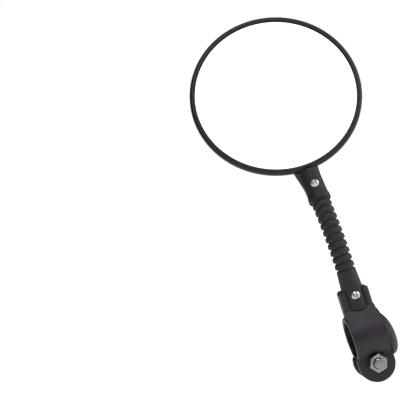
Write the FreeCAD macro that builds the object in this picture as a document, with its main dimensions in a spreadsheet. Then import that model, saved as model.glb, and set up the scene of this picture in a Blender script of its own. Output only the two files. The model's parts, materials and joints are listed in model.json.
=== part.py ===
# Bar-end bicycle mirror: split clamp with a domed closed end, a ball-and-socket
# flexible arm, and a round convex mirror head.
# Millimetres.  Origin: centre of the handlebar bore.  +X: towards the domed end of
# the clamp.  +Z: up the arm.  -Y: the side with the nut, which the mirror faces.
import FreeCAD, Part
import os
import math

doc = FreeCAD.newDocument("bar_end_mirror")
V = FreeCAD.Vector
Rot = FreeCAD.Rotation

# ---------------------------------------------------------------- driving sizes
sheet = doc.addObject("Spreadsheet::Sheet", "dims")
SIZES = [
    # clamp
    ("bore_rad", 11.1), ("ring_rad", 14.3), ("ring_left", 10.5), ("ring_right", 10.8),
    ("slit_left", 9.8), ("slit_wide", 0.5), ("slit_top", 8.0), ("dome_high", 6.1), ("dome_rad", 14.2), ("dome_at", 10.5), ("dome_drop", 1.8), ("bore_end", 10.3),
    ("hollow_rad", 10.0), ("rim_corner", 2.2),
    ("dome_hollow", 3.6), ("ear_rad", 11.3), ("ear_drop", 17.4), ("bolt_drop", 16.5), ("ear_half", 6.5),
    ("ear_back_left", 1.3), ("ear_back_drop", 15.9), ("ear_back_rad", 11.2), ("nut_room_rad", 6.6), ("head_room_rad", 6.2),
    ("gap_half", 2.0), ("bolt_hole_rad", 3.25),
    ("socket_half", 9.3), ("socket_right", 9.4), ("socket_front", 5.0), ("socket_back", 8.8), ("socket_rim", 29.8),
    ("socket_floor", 17.0), ("channel_rad", 6.75), ("mouth_half", 5.2), ("sleeve_screw_high", 26.0),
    ("ramp_low", 10.0), ("ramp_top", 18.0), ("ramp_front", 10.1), ("ramp_back", 5.0),
    # clamp bolt and nut
    ("bolt_rad", 3.0), ("bolt_head_rad", 4.9), ("bolt_head_high", 3.6), ("bolt_end", 13.2),
    ("nut_corner", 5.7735), ("nut_high", 5.0), ("nut_bore", 3.05), ("nut_round", 6.05),
    # screws
    ("screw_head_rad", 2.7), ("screw_head_high", 1.9), ("screw_rad", 1.5),
    ("screw_hole_rad", 1.55), ("recess_wide", 0.8), ("recess_long", 3.0), ("recess_deep", 1.0),
    # arm
    ("pitch", 4.38), ("ball_rad", 5.3), ("cup_bore", 5.35), ("lip_drop", 1.1),
    ("cup_rad_low", 6.1), ("cup_rad_high", 5.6), ("cup_top", 1.93), ("hollow_top", 1.7), ("shoulder_rad", 5.5),
    ("shoulder_top", 1.98), ("neck_rad", 4.81), ("neck_top", 2.15), ("rim_rad", 5.85),
    ("rim_high", 0.35), ("ball_flat_angle", 6.5), ("first_ball", 44.4),
    ("sleeve_rad_low", 6.7), ("sleeve_rad_high", 5.9),
    ("plug_rad", 5.9), ("plug_top", 16.0),
    # mirror head, heights from the last ball
    ("mirror_centre", 73.4), ("bezel_rad", 54.0), ("bezel_lip_rad", 50.6), ("bezel_crest_rad", 52.4), ("bezel_side", 3.8),
    ("bezel_front", 5.35), ("bezel_lip_back", 4.2), ("bezel_back", 1.5), ("bezel_skirt_rad", 52.6),
    ("glass_rad", 52.5), ("glass_curve", 985.0), ("glass_apex", 5.4), ("glass_thick", 2.0),
    ("pad_rad", 46.0), ("pad_back", 0.6),
    ("shell_rad", 53.2), ("shell_inner_rad", 51.2), ("shell_deep", 8.6), ("shell_inner_deep", 6.6),
    ("shell_seat", 1.9), ("shell_seat_rad", 52.5),
    ("neck_boss_rad", 6.55), ("neck_lip_rad", 7.05), ("neck_lip_low", 1.5), ("neck_lip_high", 1.4),
    ("neck_mouth_rad", 6.35), ("neck_bore_rad", 5.95), ("neck_bore_top", 16.4),
    ("neck_boss_top", 25.0), ("flange_half_low", 5.6), ("flange_right_high", 7.0), ("flange_half_high", 9.6),
    ("flange_front", 1.6), ("flange_back", 3.2), ("flange_low", 3.0), ("flange_top", 27.0),
    ("neck_screw_high", 8.9), ("neck_screw_seat", 6.1),
]
for i, (alias, value) in enumerate(SIZES):
    sheet.set("A%d" % (i + 1), alias)
    sheet.set("B%d" % (i + 1), str(value))
    sheet.setAlias("B%d" % (i + 1), alias)
doc.recompute()
D = {alias: float(sheet.get(alias)) for alias, _ in SIZES}

UP = Rot()
TO_X = Rot(V(0, 1, 0), 90)      # local +Z along +X
TO_Y = Rot(V(1, 0, 0), -90)     # local +Z along +Y
TO_FRONT = Rot(V(1, 0, 0), 90)  # local +Z along -Y


def e(text):
    """names in a sizes expression become cells of the sheet"""
    out, word = "", ""
    for c in text + " ":
        if c.isalnum() or c in "_.":
            word += c
            continue
        out += ("dims." + word) if (word and word in D) else word
        word = ""
        out += c
    return out.strip()


def put(obj, at, turn):
    obj.Placement = FreeCAD.Placement(V(0, 0, 0), turn)
    for axis, value in zip("xyz", at):
        if value != "0":
            obj.setExpression("Placement.Base." + axis, e(value))
    return obj


def prim(kind, name, sizes, at=("0", "0", "0"), turn=UP):
    obj = doc.addObject("Part::" + kind, name)
    for key, value in sizes.items():
        obj.setExpression(key, e(value))
    return put(obj, at, turn)


def cyl(name, r, h, at=("0", "0", "0"), turn=UP):
    return prim("Cylinder", name, {"Radius": r, "Height": h}, at, turn)


def cone(name, r1, r2, h, at=("0", "0", "0"), turn=UP):
    return prim("Cone", name, {"Radius1": r1, "Radius2": r2, "Height": h}, at, turn)


def box(name, lx, ly, lz, at):
    return prim("Box", name, {"Length": lx, "Width": ly, "Height": lz}, at)


def ball(name, r, at=("0", "0", "0")):
    return prim("Sphere", name, {"Radius": r}, at)


def fuse(name, shapes):
    obj = doc.addObject("Part::MultiFuse", name)
    obj.Shapes = shapes
    obj.Refine = True
    return obj


def cut(name, base, tools):
    tool = tools[0] if len(tools) == 1 else fuse(name + "_tools", tools)
    obj = doc.addObject("Part::Cut", name)
    obj.Base = base
    obj.Tool = tool
    obj.Refine = True
    return obj


def common(name, a, b):
    obj = doc.addObject("Part::Common", name)
    obj.Base = a
    obj.Tool = b
    return obj


NODES = []


def node(obj, label, placement=None):
    obj.Label = label
    if placement is not None:
        obj.Placement = placement
    NODES.append(obj)
    return obj


# ---------------------------------------------------------------- rest pose of the arm
# eleven ball centres; every ball carries a small part of the arm's resting curve
BALLS = 11
LEAN_BACK = -22.0 / BALLS
LEAN_SIDE = -2.0 / BALLS
step = Rot(V(1, 0, 0), LEAN_BACK).multiply(Rot(V(0, 1, 0), LEAN_SIDE))
centre = V(0, 0, D["first_ball"])
turn = Rot()
PLACES = []
for k in range(BALLS):
    turn = turn.multiply(step)
    PLACES.append(FreeCAD.Placement(centre, turn))
    centre = centre + turn.multVec(V(0, 0, D["pitch"]))
HEAD = PLACES[-1]

# ---------------------------------------------------------------- clamp body
ring = cyl("ring", "ring_rad", "ring_left + ring_right", ("-ring_left", "0", "0"), TO_X)
# the closed end bulges a little lower than the ring and faces slightly up
dome = prim("Ellipsoid", "dome", {"Radius1": "dome_high", "Radius2": "dome_rad", "Radius3": "dome_rad"},
            ("dome_at", "0", "-dome_drop"), Rot(V(0, 1, 0), 82))
dome.Angle1 = -10
dome.Angle2 = 90
socket = box("socket_block", "socket_half + socket_right", "socket_front + socket_back", "socket_rim - 4",
             ("-socket_half", "-socket_front", "4"))
socket_round = doc.addObject("Part::Fillet", "socket_round")
doc.recompute()
upright = [i + 1 for i, ed in enumerate(socket.Shape.Edges)
           if abs(ed.Vertexes[0].Z - ed.Vertexes[1].Z) > 5]
back_edges = [i for i in upright if socket.Shape.Edges[i - 1].Vertexes[0].Y > 0]
front_edges = [i for i in upright if i not in back_edges]
socket_round.Base = socket
socket_round.Edges = [(i, 5.0, 5.0) for i in back_edges] + [(i, 3.0, 3.0) for i in front_edges]
ear_disc = cyl("ear_disc", "ear_rad", "2*ear_half", ("0", "-ear_half", "-ear_drop"), TO_Y)
ear_root = box("ear_root", "2*ear_rad", "2*ear_half", "ear_drop - 7", ("-ear_rad", "-ear_half", "-ear_drop"))
ear_back = cyl("ear_back", "ear_back_rad", "ear_half", ("-ear_back_left", "0", "-ear_back_drop"), TO_Y)
# sloping floor of the socket, down onto the front of the ring
ramp = doc.addObject("Part::Wedge", "ramp")
for key, value in {"Xmin": "-socket_half - 1", "Xmax": "socket_right + 0.5", "X2min": "-socket_half", "X2max": "socket_right",
                   "Ymin": "ramp_low", "Ymax": "ramp_top", "Zmin": "0", "Zmax": "ramp_front",
                   "Z2min": "0", "Z2max": "ramp_back"}.items():
    ramp.setExpression(key, e(value))
ramp.Placement = FreeCAD.Placement(V(0, 0, 0), Rot(V(1, 0, 0), 90))
clamp_solid = fuse("clamp_solid", [ring, dome, socket_round, ear_disc, ear_root, ear_back, ramp])
bore = cyl("bore", "bore_rad", "ring_left + bore_end + 4", ("-ring_left - 4", "0", "0"), TO_X)
entry = cyl("entry", "bore_rad + 1.7", "4", ("-ring_left - 4", "0", "0"), TO_X)
dome_room = prim("Ellipsoid", "dome_room",
                 {"Radius1": "dome_hollow", "Radius2": "hollow_rad", "Radius3": "hollow_rad"},
                 ("bore_end - 0.01", "0", "-1"), TO_X)
dome_room.Angle1 = 0
dome_room.Angle2 = 90
ear_gap = box("ear_gap", "ring_left + slit_left + 4", "2*gap_half", "ear_drop + ear_rad",
              ("-ring_left - 4", "-gap_half", "-ear_drop - ear_rad - 2"))
slit = box("slit", "slit_wide", "ring_rad", "ring_rad + slit_top + 1",
           ("slit_left", "-ring_rad - 1 + gap_half", "-ring_rad - 1"))
channel = cyl("channel", "channel_rad", "socket_rim", ("0", "0", "socket_floor"))
channel_mouth = box("channel_mouth", "2*mouth_half", "socket_front + 12", "socket_rim",
                    ("-mouth_half", "-socket_front - 12", "ramp_top + 1"))
nut_room = cyl("nut_room", "nut_room_rad", "12", ("0", "-ear_half - 12", "-bolt_drop"), TO_Y)
head_room = cyl("head_room", "head_room_rad", "12", ("0", "ear_half", "-bolt_drop"), TO_Y)
bolt_way = cyl("bolt_way", "bolt_hole_rad", "2*ear_half + 2", ("0", "-ear_half - 1", "-bolt_drop"), TO_Y)
# rounded upper corners of the socket
corners = []
for tag, x0, xc in (("l", "-socket_half - 1", "-socket_half + rim_corner"), ("r", "socket_right - rim_corner", "socket_right - rim_corner")):
    block = box("corner_block_" + tag, "rim_corner + 1", "socket_front + socket_back + 2", "rim_corner + 1",
                (x0, "-socket_front - 1", "socket_rim - rim_corner"))
    curve = cyl("corner_curve_" + tag, "rim_corner", "socket_front + socket_back + 4",
                (xc, "-socket_front - 2", "socket_rim - rim_corner"), TO_Y)
    corners.append(cut("corner_" + tag, block, [curve]))
socket_pilot = cyl("socket_pilot", "screw_hole_rad", "6.4", ("0", "0", "sleeve_screw_high"), TO_Y)
clamp = cut("clamp_cut", clamp_solid, [bore, entry, dome_room, ear_gap, slit, channel, channel_mouth,
                                       nut_room, head_room, bolt_way, socket_pilot] + corners)
node(clamp, "clamp_body")

# ---------------------------------------------------------------- clamp bolt and nut
shank = cyl("shank", "bolt_rad", "ear_half + bolt_end", ("0", "-bolt_end", "-bolt_drop"), TO_Y)
shank_end = cone("shank_end", "bolt_rad - 0.6", "bolt_rad", "0.6", ("0", "-bolt_end - 0.6", "-bolt_drop"), TO_Y)
bolt_head = cyl("bolt_head", "bolt_head_rad", "bolt_head_high - 0.8", ("0", "ear_half + 0.02", "-bolt_drop"), TO_Y)
bolt_crown = cone("bolt_crown", "bolt_head_rad", "bolt_head_rad - 1.1", "0.8",
                  ("0", "ear_half + bolt_head_high - 0.78", "-bolt_drop"), TO_Y)
bolt_neck = cyl("bolt_neck", "bolt_rad", "1", ("0", "ear_half - 0.5", "-bolt_drop"), TO_Y)
bolt_solid = fuse("bolt_solid", [shank, shank_end, bolt_head, bolt_crown, bolt_neck])
bolt_slot = box("bolt_slot", "2*bolt_head_rad + 2", "2", "1.2",
                ("-bolt_head_rad - 1", "ear_half + bolt_head_high - 1.6", "-bolt_drop - 0.6"))
node(cut("bolt_cut", bolt_solid, [bolt_slot]), "clamp_bolt")

hexagon = prim("Prism", "hexagon", {"Circumradius": "nut_corner", "Height": "nut_high"},
               ("0", "-ear_half - 0.02", "-bolt_drop"), TO_FRONT.multiply(Rot(V(0, 0, 1), 12)))
hexagon.Polygon = 6
nut_ball = ball("nut_ball", "nut_round", ("0", "-ear_half - 0.02 - nut_high/2", "-bolt_drop"))
nut_solid = common("nut_solid", hexagon, nut_ball)
nut_way = cyl("nut_way", "nut_bore", "nut_high + 2", ("0", "-ear_half - nut_high - 1", "-bolt_drop"), TO_Y)
node(cut("nut_cut", nut_solid, [nut_way]), "clamp_nut")


# ---------------------------------------------------------------- cross-recess screws
def screw(tag, label, length, placement=None, at=("0", "0", "0")):
    """head underside at the local origin, head towards -Y, shank towards +Y"""
    head = prim("Ellipsoid", tag + "_head",
                {"Radius1": "screw_head_high", "Radius2": "screw_head_rad", "Radius3": "screw_head_rad"},
                ("0", "0", "0"), TO_FRONT)
    head.Angle1 = 0
    head.Angle2 = 90
    stem = cyl(tag + "_stem", "screw_rad", length, ("0", "-0.05", "0"), TO_Y)
    tip = cone(tag + "_tip", "screw_rad", "0.5", "1.2", ("0", length + " - 0.05", "0"), TO_Y)
    solid = fuse(tag + "_solid", [head, stem, tip])
    one = box(tag + "_slot_a", "recess_long", "3", "recess_wide",
              ("-recess_long/2", "-screw_head_high + recess_deep - 3", "-recess_wide/2"))
    two = box(tag + "_slot_b", "recess_wide", "3", "recess_long",
              ("-recess_wide/2", "-screw_head_high + recess_deep - 3", "-recess_long/2"))
    return cut(tag + "_cut", solid, [one, two]), label


s, label = screw("low_screw", "sleeve_screw", "9.2")
node(s, label, FreeCAD.Placement(V(0, -5.9, D["sleeve_screw_high"]), Rot()))

# ---------------------------------------------------------------- arm base sleeve
low = D["socket_floor"] + 0.1
shoulder_z = "first_ball - pitch + shoulder_top"
sleeve_foot = cyl("sleeve_foot", "sleeve_rad_low", "socket_rim - socket_floor - 0.1", ("0", "0", "socket_floor + 0.1"))
sleeve_cone = cone("sleeve_cone", "sleeve_rad_low", "sleeve_rad_high",
                   "first_ball - pitch + cup_top - socket_rim", ("0", "0", "socket_rim"))
sleeve_bevel = cone("sleeve_bevel", "sleeve_rad_high", "shoulder_rad", "shoulder_top - cup_top",
                    ("0", "0", "first_ball - pitch + cup_top"))
sleeve_shoulder = cone("sleeve_shoulder", "shoulder_rad", "neck_rad", "neck_top - shoulder_top",
                       ("0", "0", shoulder_z))
sleeve_ball = ball("sleeve_ball", "ball_rad", ("0", "0", "first_ball"))
sleeve_ball.setExpression("Angle2", e("ball_flat_angle"))
sleeve_solid = fuse("sleeve_solid", [sleeve_foot, sleeve_cone, sleeve_bevel, sleeve_shoulder, sleeve_ball])
sleeve_hole = cyl("sleeve_hole", "screw_hole_rad", "15", ("0", "-7.5", "sleeve_screw_high"), TO_Y)
sleeve_seat = cyl("sleeve_seat", "screw_head_rad + 0.25", "3", ("0", "-8.9", "sleeve_screw_high"), TO_Y)
node(cut("sleeve_cut", sleeve_solid, [sleeve_hole, sleeve_seat]), "arm_base_sleeve")

# ---------------------------------------------------------------- arm segments
for k in range(1, BALLS):
    t = "seg%02d_" % k
    rim = cone(t + "rim", "rim_rad", "cup_rad_low", "rim_high", ("0", "0", "-lip_drop"))
    cup = cone(t + "cup", "cup_rad_low", "cup_rad_high", "cup_top + lip_drop - rim_high",
               ("0", "0", "rim_high - lip_drop"))
    bevel = cone(t + "bevel", "cup_rad_high", "shoulder_rad", "shoulder_top - cup_top", ("0", "0", "cup_top"))
    shoulder = cone(t + "shoulder", "shoulder_rad", "neck_rad", "neck_top - shoulder_top",
                    ("0", "0", "shoulder_top"))
    knob = ball(t + "knob", "ball_rad", ("0", "0", "pitch"))
    knob.setExpression("Angle2", e("ball_flat_angle"))
    solid = fuse(t + "solid", [rim, cup, bevel, shoulder, knob])
    hollow = common(t + "hollow", ball(t + "hollow_ball", "cup_bore"),
                    cyl(t + "hollow_end", "cup_bore + 1", "hollow_top + cup_bore + 1", ("0", "0", "-cup_bore - 1")))
    node(cut(t + "cut", solid, [hollow]), "arm_segment_%02d" % k, PLACES[k - 1])

# ---------------------------------------------------------------- arm top plug
plug = cyl("plug", "plug_rad", "plug_top + lip_drop", ("0", "0", "-lip_drop"))
plug_hollow = common("plug_hollow", ball("plug_hollow_ball", "cup_bore"),
                     cyl("plug_hollow_end", "cup_bore + 1", "hollow_top + cup_bore + 1", ("0", "0", "-cup_bore - 1")))
plug_hole = cyl("plug_hole", "screw_hole_rad", "14", ("0", "-7", "neck_screw_high"), TO_Y)
node(cut("plug_cut", plug, [plug_hollow, plug_hole]), "arm_top_plug", HEAD)

# ---------------------------------------------------------------- mirror housing with neck
dish = prim("Ellipsoid", "dish", {"Radius1": "shell_deep", "Radius2": "shell_rad", "Radius3": "shell_rad"},
            ("0", "-bezel_back", "mirror_centre"), TO_Y)
dish.Angle1 = 0
dish.Angle2 = 90
seat = cyl("seat", "shell_seat_rad", "shell_seat - bezel_back + 1", ("0", "-shell_seat", "mirror_centre"), TO_Y)
boss = cyl("boss", "neck_boss_rad", "neck_boss_top", ("0", "0", "0"))
lip = cone("lip", "neck_lip_rad", "neck_lip_rad", "neck_lip_low + neck_lip_high", ("0", "0", "-neck_lip_low"))
lip_fade = cone("lip_fade", "neck_lip_rad", "neck_boss_rad", "1.8", ("0", "0", "neck_lip_high"))
flange = doc.addObject("Part::Wedge", "flange")
for key, value in {"Xmin": "-flange_half_low", "Xmax": "flange_half_low",
                   "Zmin": "-flange_front", "Zmax": "flange_back",
                   "Ymin": "flange_low", "Ymax": "flange_top",
                   "X2min": "-flange_half_high", "X2max": "flange_right_high",
                   "Z2min": "-flange_front", "Z2max": "flange_back"}.items():
    flange.setExpression(key, e(value))
# the wedge narrows along its own Y, which is turned up the neck; its Z then runs to -Y
flange.Placement = FreeCAD.Placement(V(0, 0, 0), Rot(V(1, 0, 0), 90))
housing_solid = fuse("housing_solid", [dish, seat, boss, lip, lip_fade, flange])
dish_room = prim("Ellipsoid", "dish_room",
                 {"Radius1": "shell_inner_deep", "Radius2": "shell_inner_rad", "Radius3": "shell_inner_rad"},
                 ("0", "-bezel_back", "mirror_centre"), TO_Y)
dish_room.Angle1 = 0
dish_room.Angle2 = 90
front_room = cyl("front_room", "shell_inner_rad", "12", ("0", "-bezel_back + 0.01 - 12", "mirror_centre"), TO_Y)
bezel_room = cut("bezel_room", cyl("bezel_room_out", "bezel_rad + 0.05", "20", ("0", "-bezel_back - 20", "mirror_centre"), TO_Y),
                 [cyl("bezel_room_in", "shell_seat_rad", "22", ("0", "-bezel_back - 21", "mirror_centre"), TO_Y)])
glass_room = cyl("glass_room", "bezel_rad", "20", ("0", "-shell_seat - 20", "mirror_centre"), TO_Y)
neck_bore = cyl("neck_bore", "neck_bore_rad", "neck_bore_top + 2", ("0", "0", "-2"))
neck_mouth = cone("neck_mouth", "neck_mouth_rad", "neck_bore_rad", "neck_lip_low + 0.6", ("0", "0", "-neck_lip_low"))
neck_hole = cyl("neck_hole", "screw_hole_rad", "9.6", ("0", "-neck_boss_rad", "neck_screw_high"), TO_Y)
neck_seat = cyl("neck_seat", "screw_head_rad + 0.25", "4", ("0", "-neck_screw_seat - 4", "neck_screw_high"), TO_Y)
node(cut("housing_cut", housing_solid, [dish_room, front_room, bezel_room, glass_room, neck_bore,
                                        neck_mouth, neck_hole, neck_seat]),
     "mirror_housing", HEAD)

s, label = screw("high_screw", "neck_screw", "8.2")
node(s, label, HEAD.multiply(FreeCAD.Placement(V(0, -D["neck_screw_seat"], D["neck_screw_high"]), Rot())))

# ---------------------------------------------------------------- bezel ring
side = cyl("bezel_side_wall", "bezel_rad", "bezel_side - bezel_back - 0.05", ("0", "-bezel_side", "mirror_centre"), TO_Y)
crown_front = cone("bezel_crown", "bezel_rad", "bezel_crest_rad", "bezel_front - bezel_side",
                   ("0", "-bezel_side + 0", "mirror_centre"), TO_FRONT)
lip_way = cyl("bezel_lip_way", "bezel_lip_rad", "20", ("0", "-bezel_front - 1", "mirror_centre"), TO_Y)
glass_way = cyl("bezel_glass_way", "bezel_skirt_rad", "20", ("0", "-bezel_lip_back", "mirror_centre"), TO_Y)
node(cut("bezel_cut", fuse("bezel_solid", [side, crown_front]), [lip_way, glass_way]), "bezel_ring", HEAD)

# ---------------------------------------------------------------- convex glass and its pad
blank = cyl("glass_blank", "glass_rad", "6", ("0", "-glass_apex - 1", "mirror_centre"), TO_Y)
crown = ball("glass_crown", "glass_curve", ("0", "glass_curve - glass_apex", "mirror_centre"))
hollow_back = ball("glass_hollow", "glass_curve - glass_thick", ("0", "glass_curve - glass_apex", "mirror_centre"))
node(cut("glass_cut", common("glass_front", blank, crown), [hollow_back]), "mirror_glass", HEAD)

pad_blank = cyl("pad_blank", "pad_rad", "glass_apex + pad_back", ("0", "-glass_apex", "mirror_centre"), TO_Y)
pad_crown = ball("pad_crown", "glass_curve - glass_thick - 0.02", ("0", "glass_curve - glass_apex", "mirror_centre"))
node(common("pad_common", pad_blank, pad_crown), "glass_backing_pad", HEAD)

# ---------------------------------------------------------------- check and write
doc.recompute()
bad = [o.Name for o in doc.Objects if "Invalid" in o.State or "Error" in o.State]
if bad:
    raise RuntimeError("failed objects: " + ", ".join(bad))
for o in NODES:
    shape = o.Shape
    if shape.isNull() or not shape.isValid() or shape.Volume <= 0 or len(shape.Solids) != 1:
        raise RuntimeError("bad shape: %s (%d solids)" % (o.Label, len(shape.Solids)))
os.makedirs("parts", exist_ok=True)
for o in NODES:
    o.Shape.exportStep("parts/%s.step" % o.Label)
    bb = o.Shape.BoundBox
    print("%-18s %9.1f mm3  x %6.1f %6.1f  y %6.1f %6.1f  z %6.1f %6.1f"
          % (o.Label, o.Shape.Volume, bb.XMin, bb.XMax, bb.YMin, bb.YMax, bb.ZMin, bb.ZMax))
for k, p in enumerate(PLACES):
    ax = p.Rotation.multVec(V(0, 0, 1))
    ay = p.Rotation.multVec(V(0, 1, 0))
    print("ball %2d at %.4f %.4f %.4f  axis %.5f %.5f %.5f  side axis %.5f %.5f %.5f"
          % ((k, p.Base.x, p.Base.y, p.Base.z) + tuple(ax) + tuple(ay)))
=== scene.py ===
import bpy, bmesh, json, math
import numpy as np
from mathutils import Matrix, Vector, Quaternion


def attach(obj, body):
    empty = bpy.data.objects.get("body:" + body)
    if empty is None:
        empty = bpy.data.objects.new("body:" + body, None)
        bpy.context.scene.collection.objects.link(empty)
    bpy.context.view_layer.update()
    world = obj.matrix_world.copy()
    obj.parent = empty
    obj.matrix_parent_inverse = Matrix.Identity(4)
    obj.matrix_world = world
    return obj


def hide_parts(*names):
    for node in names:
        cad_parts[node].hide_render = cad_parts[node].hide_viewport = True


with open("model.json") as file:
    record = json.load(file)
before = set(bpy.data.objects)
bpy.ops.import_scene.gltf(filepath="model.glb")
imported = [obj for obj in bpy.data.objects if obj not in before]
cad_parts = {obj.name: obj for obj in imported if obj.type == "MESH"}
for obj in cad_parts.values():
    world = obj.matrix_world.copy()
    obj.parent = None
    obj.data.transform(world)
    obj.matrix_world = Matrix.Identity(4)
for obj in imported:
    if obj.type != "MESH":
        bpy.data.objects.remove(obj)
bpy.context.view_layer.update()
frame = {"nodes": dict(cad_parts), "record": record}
MM = 0.001

# ------------------------------------------------------------------ where things are
# rest pose of the arm: eleven ball centres, each turning a little from the last
BALLS, PITCH, FIRST = 11, 4.38, 44.4
STEP = Matrix.Rotation(math.radians(-22.0 / BALLS), 3, "X") @ Matrix.Rotation(math.radians(-2.0 / BALLS), 3, "Y")
PLACES = []
_c, _r = Vector((0, 0, FIRST)), Matrix.Identity(3)
for _k in range(BALLS):
    _r = _r @ STEP
    PLACES.append(Matrix.Translation(_c) @ _r.to_4x4())
    _c = _c + _r @ Vector((0, 0, PITCH))
HEAD = PLACES[-1]
ZC = 73.4                      # mirror centre above the last ball
BASE = Matrix.Identity(4)


# ------------------------------------------------------------------ mesh helpers
def to_object(name, bm, place, smooth=True, angle=35):
    """bm is in millimetres in its own frame; place is a 4x4 in millimetres"""
    bmesh.ops.recalc_face_normals(bm, faces=bm.faces)
    me = bpy.data.meshes.new(name)
    bm.to_mesh(me)
    bm.free()
    me.transform(Matrix.Scale(MM, 4) @ place)
    ob = bpy.data.objects.new(name, me)
    bpy.context.scene.collection.objects.link(ob)
    if smooth:
        for p in me.polygons:
            p.use_smooth = True
        me.set_sharp_from_angle(angle=math.radians(angle))
    return ob


def arc(cx, cy, r, a0, a1, n):
    return [(cx + r * math.cos(math.radians(a0 + (a1 - a0) * i / n)),
             cy + r * math.sin(math.radians(a0 + (a1 - a0) * i / n))) for i in range(n + 1)]


def round_corner(p0, p1, p2, r, n=5):
    """points that round the corner p1 of the path p0-p1-p2 with radius r"""
    a = Vector(p0) - Vector(p1)
    b = Vector(p2) - Vector(p1)
    la, lb = a.length, b.length
    a.normalize(); b.normalize()
    dot = max(-1, min(1, a.dot(b)))
    half = math.acos(dot) / 2
    if half < 0.05 or abs(half - math.pi / 2) < 0.02:
        return [tuple(p1)]
    d = min(r / math.tan(half), la * 0.45, lb * 0.45)
    r = d * math.tan(half)
    c = Vector(p1) + (a + b).normalized() * (r / math.sin(half))
    s, e_ = Vector(p1) + a * d, Vector(p1) + b * d
    out = []
    va, vb = s - c, e_ - c
    ang = va.angle_signed(vb) if va.length and vb.length else 0
    for i in range(n + 1):
        t = -ang * i / n
        ca, sa = math.cos(t), math.sin(t)
        out.append((c.x + va.x * ca - va.y * sa, c.y + va.x * sa + va.y * ca))
    return out


def rounded(points, radii, n=5, closed=False):
    """a path with each corner rounded by its radius (0 keeps it sharp)"""
    out = []
    m = len(points)
    for i, p in enumerate(points):
        r = radii[i] if isinstance(radii, (list, tuple)) else radii
        if r <= 0 or (not closed and i in (0, m - 1)):
            out.append(tuple(p))
        else:
            out += round_corner(points[(i - 1) % m], p, points[(i + 1) % m], r, n)
    return out


def lathe_bm(profile, segs=96, closed=False, bm=None):
    """revolves (r, z) about +Z; ends at r=0 close on the axis"""
    bm = bm or bmesh.new()
    rings = []
    for r, z in profile:
        if r < 1e-6:
            rings.append([bm.verts.new((0, 0, z))])
        else:
            rings.append([bm.verts.new((r * math.cos(2 * math.pi * i / segs), r * math.sin(2 * math.pi * i / segs), z))
                          for i in range(segs)])
    pairs = list(zip(rings[:-1], rings[1:]))
    if closed:
        pairs.append((rings[-1], rings[0]))
    for a, b in pairs:
        for i in range(segs):
            j = (i + 1) % segs
            if len(a) == 1 and len(b) == 1:
                continue
            if len(a) == 1:
                bm.faces.new((a[0], b[i], b[j]))
            elif len(b) == 1:
                bm.faces.new((a[i], b[0], a[j]))
            else:
                bm.faces.new((a[i], b[i], b[j], a[j]))
    return bm


AX_FRONT = Matrix.Rotation(math.pi / 2, 4, "X")     # +Z of a lathe onto -Y
AX_BACK = Matrix.Rotation(-math.pi / 2, 4, "X")     # +Z of a lathe onto +Y
AX_RIGHT = Matrix.Rotation(math.pi / 2, 4, "Y")     # +Z of a lathe onto +X
T = Matrix.Translation


# ------------------------------------------------------------------ materials
def new_material(name):
    m = bpy.data.materials.new(name)
    m.use_nodes = True
    nt = m.node_tree
    b = nt.nodes["Principled BSDF"]
    return m, nt, b


def link(nt, a, ao, b, bi):
    nt.links.new(a.outputs[ao], b.inputs[bi])


def noise(nt, scale, detail=3, rough=0.5, coord=None):
    n = nt.nodes.new("ShaderNodeTexNoise")
    n.inputs["Scale"].default_value = scale
    n.inputs["Detail"].default_value = detail
    n.inputs["Roughness"].default_value = rough
    if coord is not None:
        nt.links.new(coord, n.inputs["Vector"])
    return n


def ramp(nt, src, stops):
    r = nt.nodes.new("ShaderNodeValToRGB")
    e = r.color_ramp.elements
    while len(e) < len(stops):
        e.new(0.5)
    for el, (pos, col) in zip(e, stops):
        el.position = pos
        el.color = (col if isinstance(col, tuple) else (col, col, col)) + (1,)
    nt.links.new(src, r.inputs["Fac"])
    return r


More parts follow.
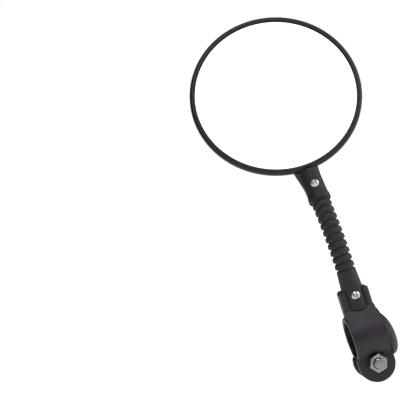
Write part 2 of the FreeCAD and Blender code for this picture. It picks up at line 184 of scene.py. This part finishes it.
def plastic(name, base, tint, rough=(0.42, 0.55), grain=9000, grain_bump=0.05, wear=0.35, spec=0.5, flow=0.0):
    """moulded black plastic: fine spark-eroded grain, cloudy sheen, rubbed edges"""
    m, nt, b = new_material(name)
    tc = nt.nodes.new("ShaderNodeTexCoord")
    obj = tc.outputs["Object"]
    cloud = noise(nt, 90, 4, 0.55, obj)
    fine = noise(nt, grain, 2, 0.6, obj)
    mid = noise(nt, grain * 0.22, 3, 0.6, obj)
    geo = nt.nodes.new("ShaderNodeNewGeometry")
    edge = ramp(nt, geo.outputs["Pointiness"], [(0.515, 0.0), (0.60, 1.0)])
    rub = noise(nt, 420, 4, 0.65, obj)
    rubr = ramp(nt, rub.outputs["Fac"], [(0.45, 0.0), (0.70, 1.0)])
    em = nt.nodes.new("ShaderNodeMath"); em.operation = "MULTIPLY"
    link(nt, edge, "Color", em, 0); link(nt, rubr, "Color", em, 1)
    em2 = nt.nodes.new("ShaderNodeMath"); em2.operation = "MULTIPLY"; em2.inputs[1].default_value = wear
    link(nt, em, 0, em2, 0)
    col = ramp(nt, cloud.outputs["Fac"], [(0.3, tuple(c * 0.82 for c in base)), (0.7, tuple(min(1, c * 1.22) for c in base))])
    mix = nt.nodes.new("ShaderNodeMix"); mix.data_type = "RGBA"
    mix.inputs["B"].default_value = tuple(tint) + (1,)
    nt.links.new(col.outputs["Color"], mix.inputs["A"])
    nt.links.new(em2.outputs[0], mix.inputs["Factor"])
    nt.links.new(mix.outputs["Result"], b.inputs["Base Color"])
    rr = nt.nodes.new("ShaderNodeMapRange")
    rr.inputs["From Min"].default_value = 0.3; rr.inputs["From Max"].default_value = 0.7
    rr.inputs["To Min"].default_value = rough[0]; rr.inputs["To Max"].default_value = rough[1]
    link(nt, cloud, "Fac", rr, "Value")
    add = nt.nodes.new("ShaderNodeMath"); add.operation = "MULTIPLY_ADD"
    add.inputs[1].default_value = 0.10
    nt.links.new(mid.outputs["Fac"], add.inputs[0])
    nt.links.new(rr.outputs["Result"], add.inputs[2])
    nt.links.new(add.outputs[0], b.inputs["Roughness"])
    b.inputs["Specular IOR Level"].default_value = spec
    b.inputs["Specular Tint"].default_value = (1.0, 0.90, 1.02, 1)
    b1 = nt.nodes.new("ShaderNodeBump"); b1.inputs["Strength"].default_value = 1.0
    b1.inputs["Distance"].default_value = grain_bump * MM
    nt.links.new(fine.outputs["Fac"], b1.inputs["Height"])
    b2 = nt.nodes.new("ShaderNodeBump"); b2.inputs["Strength"].default_value = 1.0
    b2.inputs["Distance"].default_value = 0.06 * MM
    nt.links.new(mid.outputs["Fac"], b2.inputs["Height"])
    nt.links.new(b1.outputs["Normal"], b2.inputs["Normal"])
    nt.links.new(b2.outputs["Normal"], b.inputs["Normal"])
    return m


def zinc(name, axis="Y", bright=0.50):
    """bright zinc plated steel: fine turned lines, faint cloudiness, small scratches"""
    m, nt, b = new_material(name)
    tc = nt.nodes.new("ShaderNodeTexCoord")
    obj = tc.outputs["Object"]
    mp = nt.nodes.new("ShaderNodeMapping")
    nt.links.new(obj, mp.inputs["Vector"])
    mp.inputs["Scale"].default_value = (1.0, 9.0, 1.0) if axis == "Y" else (1.0, 1.0, 9.0)
    line = noise(nt, 1400, 3, 0.6, mp.outputs["Vector"])
    cloud = noise(nt, 700, 4, 0.6, obj)
    col = ramp(nt, cloud.outputs["Fac"], [(0.3, (bright * 0.86, bright * 0.87, bright * 0.90)), (0.7, (bright, bright, bright * 1.01))])
    nt.links.new(col.outputs["Color"], b.inputs["Base Color"])
    b.inputs["Metallic"].default_value = 1.0
    rr = nt.nodes.new("ShaderNodeMapRange")
    rr.inputs["To Min"].default_value = 0.24; rr.inputs["To Max"].default_value = 0.42
    link(nt, line, "Fac", rr, "Value")
    nt.links.new(rr.outputs["Result"], b.inputs["Roughness"])
    bp = nt.nodes.new("ShaderNodeBump"); bp.inputs["Strength"].default_value = 0.6
    bp.inputs["Distance"].default_value = 0.015 * MM
    nt.links.new(line.outputs["Fac"], bp.inputs["Height"])
    nt.links.new(bp.outputs["Normal"], b.inputs["Normal"])
    return m


def mirror_mat(name):
    m, nt, b = new_material(name)
    tc = nt.nodes.new("ShaderNodeTexCoord")
    obj = tc.outputs["Object"]
    haze = noise(nt, 25, 4, 0.5, obj)
    col = ramp(nt, haze.outputs["Fac"], [(0.3, (0.955, 0.945, 0.95)), (0.7, (0.985, 0.98, 0.985))])
    nt.links.new(col.outputs["Color"], b.inputs["Base Color"])
    b.inputs["Metallic"].default_value = 1.0
    rr = nt.nodes.new("ShaderNodeMapRange")
    rr.inputs["To Min"].default_value = 0.015; rr.inputs["To Max"].default_value = 0.035
    link(nt, haze, "Fac", rr, "Value")
    nt.links.new(rr.outputs["Result"], b.inputs["Roughness"])
    return m


def foam(name):
    m, nt, b = new_material(name)
    tc = nt.nodes.new("ShaderNodeTexCoord")
    v = nt.nodes.new("ShaderNodeTexVoronoi"); v.inputs["Scale"].default_value = 2500
    nt.links.new(tc.outputs["Object"], v.inputs["Vector"])
    c = ramp(nt, v.outputs["Distance"], [(0.0, 0.03), (1.0, 0.10)])
    nt.links.new(c.outputs["Color"], b.inputs["Base Color"])
    b.inputs["Roughness"].default_value = 0.95
    bp = nt.nodes.new("ShaderNodeBump"); bp.inputs["Distance"].default_value = 0.2 * MM
    nt.links.new(v.outputs["Distance"], bp.inputs["Height"])
    nt.links.new(bp.outputs["Normal"], b.inputs["Normal"])
    return m


M_CLAMP = plastic("clamp_plastic", (0.0135, 0.0112, 0.0142), (0.045, 0.042, 0.047), (0.40, 0.52), spec=0.40)
M_ARM = plastic("arm_plastic", (0.0165, 0.0142, 0.0172), (0.055, 0.052, 0.057), (0.44, 0.56), spec=0.38)
M_SHELL = plastic("shell_plastic", (0.0105, 0.0095, 0.0110), (0.04, 0.038, 0.042), (0.42, 0.54), spec=0.36)
M_BEZEL = plastic("bezel_plastic", (0.0085, 0.0080, 0.0090), (0.04, 0.04, 0.042), (0.38, 0.50), spec=0.34)
M_ZINC = zinc("zinc_steel")
# the nut and the clamp bolt get darker copies of the same zinc steel: painted shade, not a different finish
M_NUT_PAINTED_SHADE = zinc("zinc_steel_nut_painted_shade", bright=0.30)
M_BOLT_PAINTED_SHADE = zinc("zinc_steel_bolt_painted_shade", bright=0.26)
M_MIRROR = mirror_mat("mirror_face")
M_FOAM = foam("foam_pad")
CAD_MAT = {"clamp_plastic": M_CLAMP, "arm_plastic": M_ARM, "shell_plastic": M_SHELL, "bezel_plastic": M_BEZEL,
           "zinc_steel": M_ZINC, "mirror_face": M_MIRROR, "foam_pad": M_FOAM}
SLOT = {s["node"]: s["material_slot"] for s in frame["record"]["subparts"]}


def dress(ob, mat):
    ob.data.materials.clear()
    ob.data.materials.append(mat)


for n, ob in frame["nodes"].items():
    for i in range(max(1, len(ob.material_slots))):
        if ob.material_slots:
            ob.material_slots[i].material = CAD_MAT[SLOT[n]]
    if not ob.material_slots:
        ob.data.materials.append(CAD_MAT[SLOT[n]])

# ------------------------------------------------------------------ piece helpers
def smooth_edges(ob, levels=0):
    return ob


def place_piece(ob, mat, body, slot, *nodes):
    dress(ob, mat)
    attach(ob, body)
    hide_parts(*nodes)
    return ob


def moulded(node, name, voxel, turns, refine=None):
    """the CAD solid remeshed finely, with its edges run together as a moulding's are"""
    src = frame["nodes"][node]
    me = bpy.data.meshes.new_from_object(src)
    me.transform(src.matrix_world)
    ob = bpy.data.objects.new(name, me)
    sc0 = bpy.context.scene.collection
    sc0.objects.link(ob)
    m = ob.modifiers.new("remesh", "REMESH")
    m.mode = "VOXEL"
    m.voxel_size = voxel * MM
    m.adaptivity = 0.0
    deps = bpy.context.evaluated_depsgraph_get()
    me2 = bpy.data.meshes.new_from_object(ob.evaluated_get(deps))
    bpy.data.objects.remove(ob)
    n = len(me2.vertices)
    co = np.empty(n * 3); me2.vertices.foreach_get("co", co); co = co.reshape(-1, 3)
    ed = np.empty(len(me2.edges) * 2, np.int64); me2.edges.foreach_get("vertices", ed); ed = ed.reshape(-1, 2)
    deg = np.bincount(ed.ravel(), minlength=n).astype(float)[:, None]
    keep = refine(co / MM) if refine else np.ones(n)
    keep = keep[:, None]

    def lap(p):
        s = np.empty_like(p)
        for c in range(3):
            s[:, c] = (np.bincount(ed[:, 0], p[ed[:, 1], c], n) + np.bincount(ed[:, 1], p[ed[:, 0], c], n))
        return s / deg - p
    for _ in range(turns):           # smoothing that does not shrink the form
        co = co + 0.55 * keep * lap(co)
        co = co - 0.565 * keep * lap(co)
    for _ in range(2):
        co = co + 0.3 * keep * lap(co)
    me2.vertices.foreach_set("co", co.ravel())
    me2.update()
    for p in me2.polygons:
        p.use_smooth = True
    me2.materials.clear()
    out = bpy.data.objects.new(name, me2)
    sc0.objects.link(out)
    return out


def polar_head(rad, height, low, recess, segs=96, rings=40, under=0.0, edge=0.35):
    """a screw head on +Z: height(r) is its crown, recess(x, y) how deep it is cut there"""
    bm = bmesh.new()
    rows = []
    top0 = bm.verts.new((0, 0, height(0) - recess(0, 0)))
    for i in range(1, rings + 1):
        r = rad * i / rings
        row = []
        for k in range(segs):
            a = 2 * math.pi * k / segs
            x, y = r * math.cos(a), r * math.sin(a)
            row.append(bm.verts.new((x, y, height(r) - recess(x, y))))
        rows.append(row)
    for r, z in ((rad, low + edge * 0.5), (rad - edge * 0.35, low)):
        rows.append([bm.verts.new((r * math.cos(2 * math.pi * k / segs), r * math.sin(2 * math.pi * k / segs), z))
                     for k in range(segs)])
    for k in range(segs):
        bm.faces.new((top0, rows[0][k], rows[0][(k + 1) % segs]))
    for a, b in zip(rows[:-1], rows[1:]):
        for k in range(segs):
            j = (k + 1) % segs
            bm.faces.new((a[k], b[k], b[j], a[j]))
    return bm, rows[-1]


def stem_down(bm, last, pts, segs=96):
    """goes on from the ring of verts last through (r, z) points and closes on the axis"""
    for r, z in pts:
        if r < 1e-6:
            tip = bm.verts.new((0, 0, z))
            for k in range(segs):
                bm.faces.new((last[k], tip, last[(k + 1) % segs]))
            return bm
        row = [bm.verts.new((r * math.cos(2 * math.pi * k / segs), r * math.sin(2 * math.pi * k / segs), z))
               for k in range(segs)]
        for k in range(segs):
            j = (k + 1) % segs
            bm.faces.new((last[k], row[k], row[j], last[j]))
        last = row
    return bm


def thread_rows(r0, depth, pitch, z0, z1, per=8):
    """a helical thread as rows of verts: radius falls and rises along z, shifted round the turn"""
    def rad(z, a):
        t = ((z / pitch - a / (2 * math.pi)) % 1.0)
        v = abs(2 * t - 1)                      # 1 at the crest, 0 at the root
        fade = min(1.0, max(0.0, (z - z0) / pitch), max(0.0, (z1 - z) / (0.8 * pitch)))
        return r0 - depth * (1 - min(1.0, v * 1.35)) * 1.0 - depth * (1 - fade) * 0.0
    n = max(2, int(round((z1 - z0) / pitch * per)))
    return [(z0 + (z1 - z0) * i / n, rad) for i in range(n + 1)]


def step01(x):
    x = min(1.0, max(0.0, x))
    return x * x * (3 - 2 * x)


def cross_recess(half_long=1.5, half_wide=0.4, depth=1.0, wall=0.14):
    def f(x, y):
        best = 0.0
        for u, v in ((x, y), (y, x)):
            inside = min((half_long - abs(u)) / wall, (half_wide + 0.10 * (1 - abs(u) / half_long) - abs(v)) / wall)
            best = max(best, step01(inside) * depth * (1.0 - 0.45 * abs(u) / half_long))
        return best
    return f


# ------------------------------------------------------------------ arm: cups and balls
BALL_R, CUP_BORE, LIP, HOLLOW_TOP = 5.3, 5.35, 1.1, 1.7
TURN_N = 120


def cup_inside(n=12):
    hi = math.degrees(math.asin(HOLLOW_TOP / CUP_BORE))
    lo = -math.degrees(math.asin(LIP / CUP_BORE))
    return [(0, HOLLOW_TOP), (2.4, HOLLOW_TOP)] + arc(0, 0, CUP_BORE, hi, lo, n)


def ball_zone(z0, n=12):
    lo = -math.degrees(math.asin((4.38 - 2.14) / BALL_R))
    zone = arc(0, z0, BALL_R, lo, 5.5, n)
    top = z0 + BALL_R * math.sin(math.radians(6.5))
    return zone + [(5.2, top - 0.01), (5.0, top), (2.3, top), (0, top)]


def seg_profile():
    outer = rounded([(5.236, -LIP), (5.78, -LIP), (6.08, -0.72), (6.09, 0.0), (5.93, 1.05), (5.67, 1.78),
                     (5.46, 1.97), (4.83, 2.12)],
                    [0, 0.16, 0.40, 0.9, 1.6, 0.30, 0.22, 0], 5)
    return cup_inside() + outer + ball_zone(4.38)


for k in range(1, BALLS):
    ob = to_object("Arm_segment_%02d" % k, lathe_bm(seg_profile(), TURN_N), PLACES[k - 1], angle=42)
    place_piece(ob, M_ARM, "segment_%02d" % k, "arm_plastic", "arm_segment_%02d" % k)

ob = moulded("arm_base_sleeve", "Arm_base_sleeve", 0.22, 5)
place_piece(ob, M_ARM, "clamp", "arm_plastic", "arm_base_sleeve")

plug = cup_inside() + rounded([(5.236, -LIP), (5.72, -LIP), (5.89, -0.75), (5.89, 15.7), (5.6, 16.0), (0, 16.0)],
                              [0, 0.15, 0.2, 0.15, 0.2, 0], 4)
ob = to_object("Arm_top_plug", lathe_bm(plug, TURN_N), HEAD, angle=42)
place_piece(ob, M_ARM, "head", "arm_plastic", "arm_top_plug")

# ------------------------------------------------------------------ mouldings
ob = moulded("clamp_body", "Clamp_body", 0.30, 15)
place_piece(ob, M_CLAMP, "clamp", "clamp_plastic", "clamp_body")
ob = moulded("mirror_housing", "Mirror_housing", 0.42, 7)
place_piece(ob, M_SHELL, "head", "shell_plastic", "mirror_housing")

# ------------------------------------------------------------------ bezel, glass and pad
rim_n = 256
face_up = HEAD @ T((0, 0, ZC)) @ AX_FRONT          # lathe +Z is the way the mirror faces
bez = rounded([(52.6, 1.55), (53.8, 1.55), (53.98, 1.8), (53.98, 2.3), (53.86, 2.42), (53.86, 2.56), (53.98, 2.7),
               (53.98, 3.75), (53.55, 4.5), (52.5, 5.25), (51.6, 5.33), (50.75, 5.02), (50.6, 4.6), (50.75, 4.27), (52.6, 4.2)],
              [0, 0.15, 0.12, 0.1, 0.06, 0.06, 0.1, 0.8, 1.2, 1.0, 0.8, 0.5, 0.3, 0.12, 0], 5)
ob = to_object("Bezel_ring", lathe_bm(bez, rim_n, closed=True), face_up, angle=40)
place_piece(ob, M_BEZEL, "head", "bezel_plastic", "bezel_ring")

GLASS_R, CURVE, APEX, THICK = 52.5, 985.0, 5.4, 2.0


def sag(r, big):
    return big - math.sqrt(big * big - r * r)


front = [(GLASS_R * i / 24.0, APEX - sag(GLASS_R * i / 24.0, CURVE)) for i in range(25)]
front[-1] = (52.3, APEX - sag(52.3, CURVE))
back = [(r, APEX - THICK - sag(r, CURVE - THICK)) for r in (52.3, 40.0, 26.0, 12.0, 0.0)]
edge = [(52.5, front[-1][1] - 0.2), (52.5, back[0][1] + 0.2)]
ob = to_object("Mirror_glass", lathe_bm(front + edge + back, rim_n), face_up, angle=30)
place_piece(ob, M_MIRROR, "head", "mirror_face", "mirror_glass")
pad = [(0, APEX - THICK - 0.03)] + [(r, APEX - THICK - 0.03 - sag(r, CURVE - THICK)) for r in (15.0, 30.0, 45.6)]
pad += [(46.0, pad[-1][1] - 0.4), (46.0, 0.0), (45.7, -0.55), (30.0, -0.6), (0, -0.6)]
ob = to_object("Glass_backing_pad", lathe_bm(pad, 96), face_up, angle=30)
place_piece(ob, M_FOAM, "head", "foam_pad", "glass_backing_pad")


# ------------------------------------------------------------------ screws, bolt and nut
def pan(rad, top, lip):
    return lambda r: lip + (top - lip) * (1 - (min(r, rad) / rad) ** 2.4)


def helix_down(bm, last, r0, depth, pitch, z0, z1, segs=96, per=7):
    """thread from z0 down to z1, on from the ring last; fades out at both ends"""
    n = max(4, int(round((z0 - z1) / pitch * per)))
    for i in range(n + 1):
        z = z0 + (z1 - z0) * i / n
        fade = step01((z0 - z) / pitch) * step01((z - z1) / (0.6 * pitch))
        row = []
        for k in range(segs):
            t = (z / pitch - k / segs) % 1.0
            v = min(1.0, abs(2 * t - 1) * 1.3)
            r = r0 - depth * (1 - v) * fade
            row.append(bm.verts.new((r * math.cos(2 * math.pi * k / segs), r * math.sin(2 * math.pi * k / segs), z)))
        for k in range(segs):
            j = (k + 1) % segs
            bm.faces.new((last[k], row[k], row[j], last[j]))
        last = row
    return last


def screw_bm(length):
    bm, last = polar_head(2.7, pan(2.7, 1.88, 0.55), 0.0, cross_recess(1.45, 0.36, 0.95), 96, 44)
    row = [bm.verts.new((1.5 * math.cos(2 * math.pi * k / 96), 1.5 * math.sin(2 * math.pi * k / 96), -0.02)) for k in range(96)]
    for k in range(96):
        bm.faces.new((last[k], row[k], row[(k + 1) % 96], last[(k + 1) % 96]))
    last = helix_down(bm, row, 1.5, 0.22, 1.0, -0.6, -length + 0.1)
    return stem_down(bm, last, [(0.9, -length - 0.5), (0.45, -length - 1.0), (0, -length - 1.1)])


ob = to_object("Sleeve_screw", screw_bm(9.2), T((0, -5.9, 26.0)) @ AX_FRONT @ Matrix.Rotation(0.5, 4, "Z"), angle=38)
place_piece(ob, M_ZINC, "clamp", "zinc_steel", "sleeve_screw")
ob = to_object("Neck_screw", screw_bm(8.2), HEAD @ T((0, -6.1, 8.9)) @ AX_FRONT @ Matrix.Rotation(0.2, 4, "Z"), angle=38)
place_piece(ob, M_ZINC, "head", "zinc_steel", "neck_screw")


def head_height(r):
    return 3.6 if r < 3.7 else 3.6 - 0.9 * step01((r - 3.7) / 1.2) ** 1.2


bm, last = polar_head(4.9, head_height, 0.0, lambda x, y: 1.6 * step01((0.6 - abs(y)) / 0.12 + 0.5), 96, 48, edge=0.4)
row = [bm.verts.new((3.0 * math.cos(2 * math.pi * k / 96), 3.0 * math.sin(2 * math.pi * k / 96), -0.02)) for k in range(96)]
for k in range(96):
    bm.faces.new((last[k], row[k], row[(k + 1) % 96], last[(k + 1) % 96]))
last = helix_down(bm, row, 3.0, 0.34, 1.0, -8.0, -19.75)
stem_down(bm, last, [(2.45, -20.25), (2.2, -20.3), (1.0, -20.3), (0, -20.3)])
ob = to_object("Clamp_bolt", bm, T((0, 6.52, -16.5)) @ AX_BACK, angle=38)
# the clamp bolt wears the darker zinc copy: painted shade
place_piece(ob, M_BOLT_PAINTED_SHADE, "clamp", "zinc_steel", "clamp_bolt")


def hex_nut(flat=10.0, high=5.0, bore=3.05, face=4.72, turn=0.0, segs=144):
    bm = bmesh.new()

    def h(a):
        t = (a % (math.pi / 3)) - math.pi / 6
        return flat / 2 / math.cos(t)
    rows = []
    for kind in range(10):
        row = []
        for k in range(segs):
            a = 2 * math.pi * k / segs
            hr = min(h(a), 5.72)
            drop = max(0.0, hr - face) * 0.52
            r, z = ((bore, 0.55), (bore + 0.42, 0.06), (bore + 0.5, 0.0), (face, 0.0), (hr, drop),
                    (hr, high - drop), (face, high), (bore + 0.5, high), (bore + 0.42, high - 0.06), (bore, high - 0.55))[kind]
            row.append(bm.verts.new((r * math.cos(a + turn), r * math.sin(a + turn), z)))
        rows.append(row)
    for i in range(len(rows)):
        a, b = rows[i], rows[(i + 1) % len(rows)]
        for k in range(segs):
            j = (k + 1) % segs
            bm.faces.new((a[k], b[k], b[j], a[j]))
    return bm


ob = to_object("Clamp_nut", hex_nut(turn=math.radians(12)), T((0, -6.52, -16.5)) @ AX_FRONT, angle=22)
# the clamp nut wears the darker zinc copy: painted shade
place_piece(ob, M_NUT_PAINTED_SHADE, "nut", "zinc_steel", "clamp_nut")

# ------------------------------------------------------------------ studio
sc = bpy.context.scene
sc.view_settings.view_transform = "Standard"
sc.view_settings.look = "None"
world = bpy.data.worlds.new("studio")
sc.world = world
world.use_nodes = True
world.node_tree.nodes["Background"].inputs["Color"].default_value = (1, 1, 1, 1)
world.node_tree.nodes["Background"].inputs["Strength"].default_value = 0.14


def area(name, at, look, size, power, size_y=None):
    li = bpy.data.lights.new(name, "AREA")
    li.energy = power
    li.shape = "RECTANGLE"
    li.size = size
    li.size_y = size_y or size
    ob = bpy.data.objects.new(name, li)
    sc.collection.objects.link(ob)
    ob.location = at
    d = Vector(look) - Vector(at)
    ob.rotation_euler = d.to_track_quat("-Z", "Y").to_euler()
    return ob


# the floor and a white surround that only the camera sees
bm = bmesh.new()
bmesh.ops.create_grid(bm, x_segments=8, y_segments=8, size=12.0)
floor = to_object("floor", bm, Matrix.Scale(1000, 4) @ T((0, 0, -0.17)), smooth=False)
fm, nt, b = new_material("floor_paper")
b.inputs["Base Color"].default_value = (0.30, 0.30, 0.30, 1)
b.inputs["Roughness"].default_value = 0.9
b.inputs["Emission Color"].default_value = (1, 1, 1, 1)
b.inputs["Emission Strength"].default_value = 1.05
dress(floor, fm)
bm = bmesh.new()
bmesh.ops.create_uvsphere(bm, u_segments=32, v_segments=16, radius=11.0)
dome = to_object("surround", bm, Matrix.Scale(1000, 4), smooth=True)
dm = bpy.data.materials.new("surround_white")
dm.use_nodes = True
dnt = dm.node_tree
dnt.nodes.clear()
em = dnt.nodes.new("ShaderNodeEmission"); em.inputs["Strength"].default_value = 1.0
out = dnt.nodes.new("ShaderNodeOutputMaterial")
dnt.links.new(em.outputs[0], out.inputs[0])
dress(dome, dm)
dome.visible_diffuse = dome.visible_glossy = dome.visible_shadow = dome.visible_transmission = False
floor.visible_diffuse = True

area("key", (0.26, -1.10, 1.30), (0, 0, 0.12), 1.1, 6.5)
area("top", (0.05, -0.55, 1.60), (0, 0, 0.05), 0.6, 9.5)
area("fill", (-1.3, -0.7, 0.5), (0, 0, 0.06), 0.9, 1.6)
area("rim", (1.2, -0.1, 0.5), (0, 0, 0.03), 0.7, 7)

# ------------------------------------------------------------------ camera
cam_data = bpy.data.cameras.new("camera")
cam_data.sensor_width = 36.0
cam_data.lens = 126.0
cam_data.clip_end = 100
cam = bpy.data.objects.new("camera", cam_data)
sc.collection.objects.link(cam)
CAM_M = ((0.947948, 0.308476, -0.078979, -0.137874),
         (-0.087247, 0.013079, -0.996101, -0.837874),
         (-0.306241, 0.951142, 0.039311, 0.142664),
         (0.000000, 0.000000, 0.000000, 1.000000))
cam.matrix_world = Matrix(CAM_M)
sc.camera = cam

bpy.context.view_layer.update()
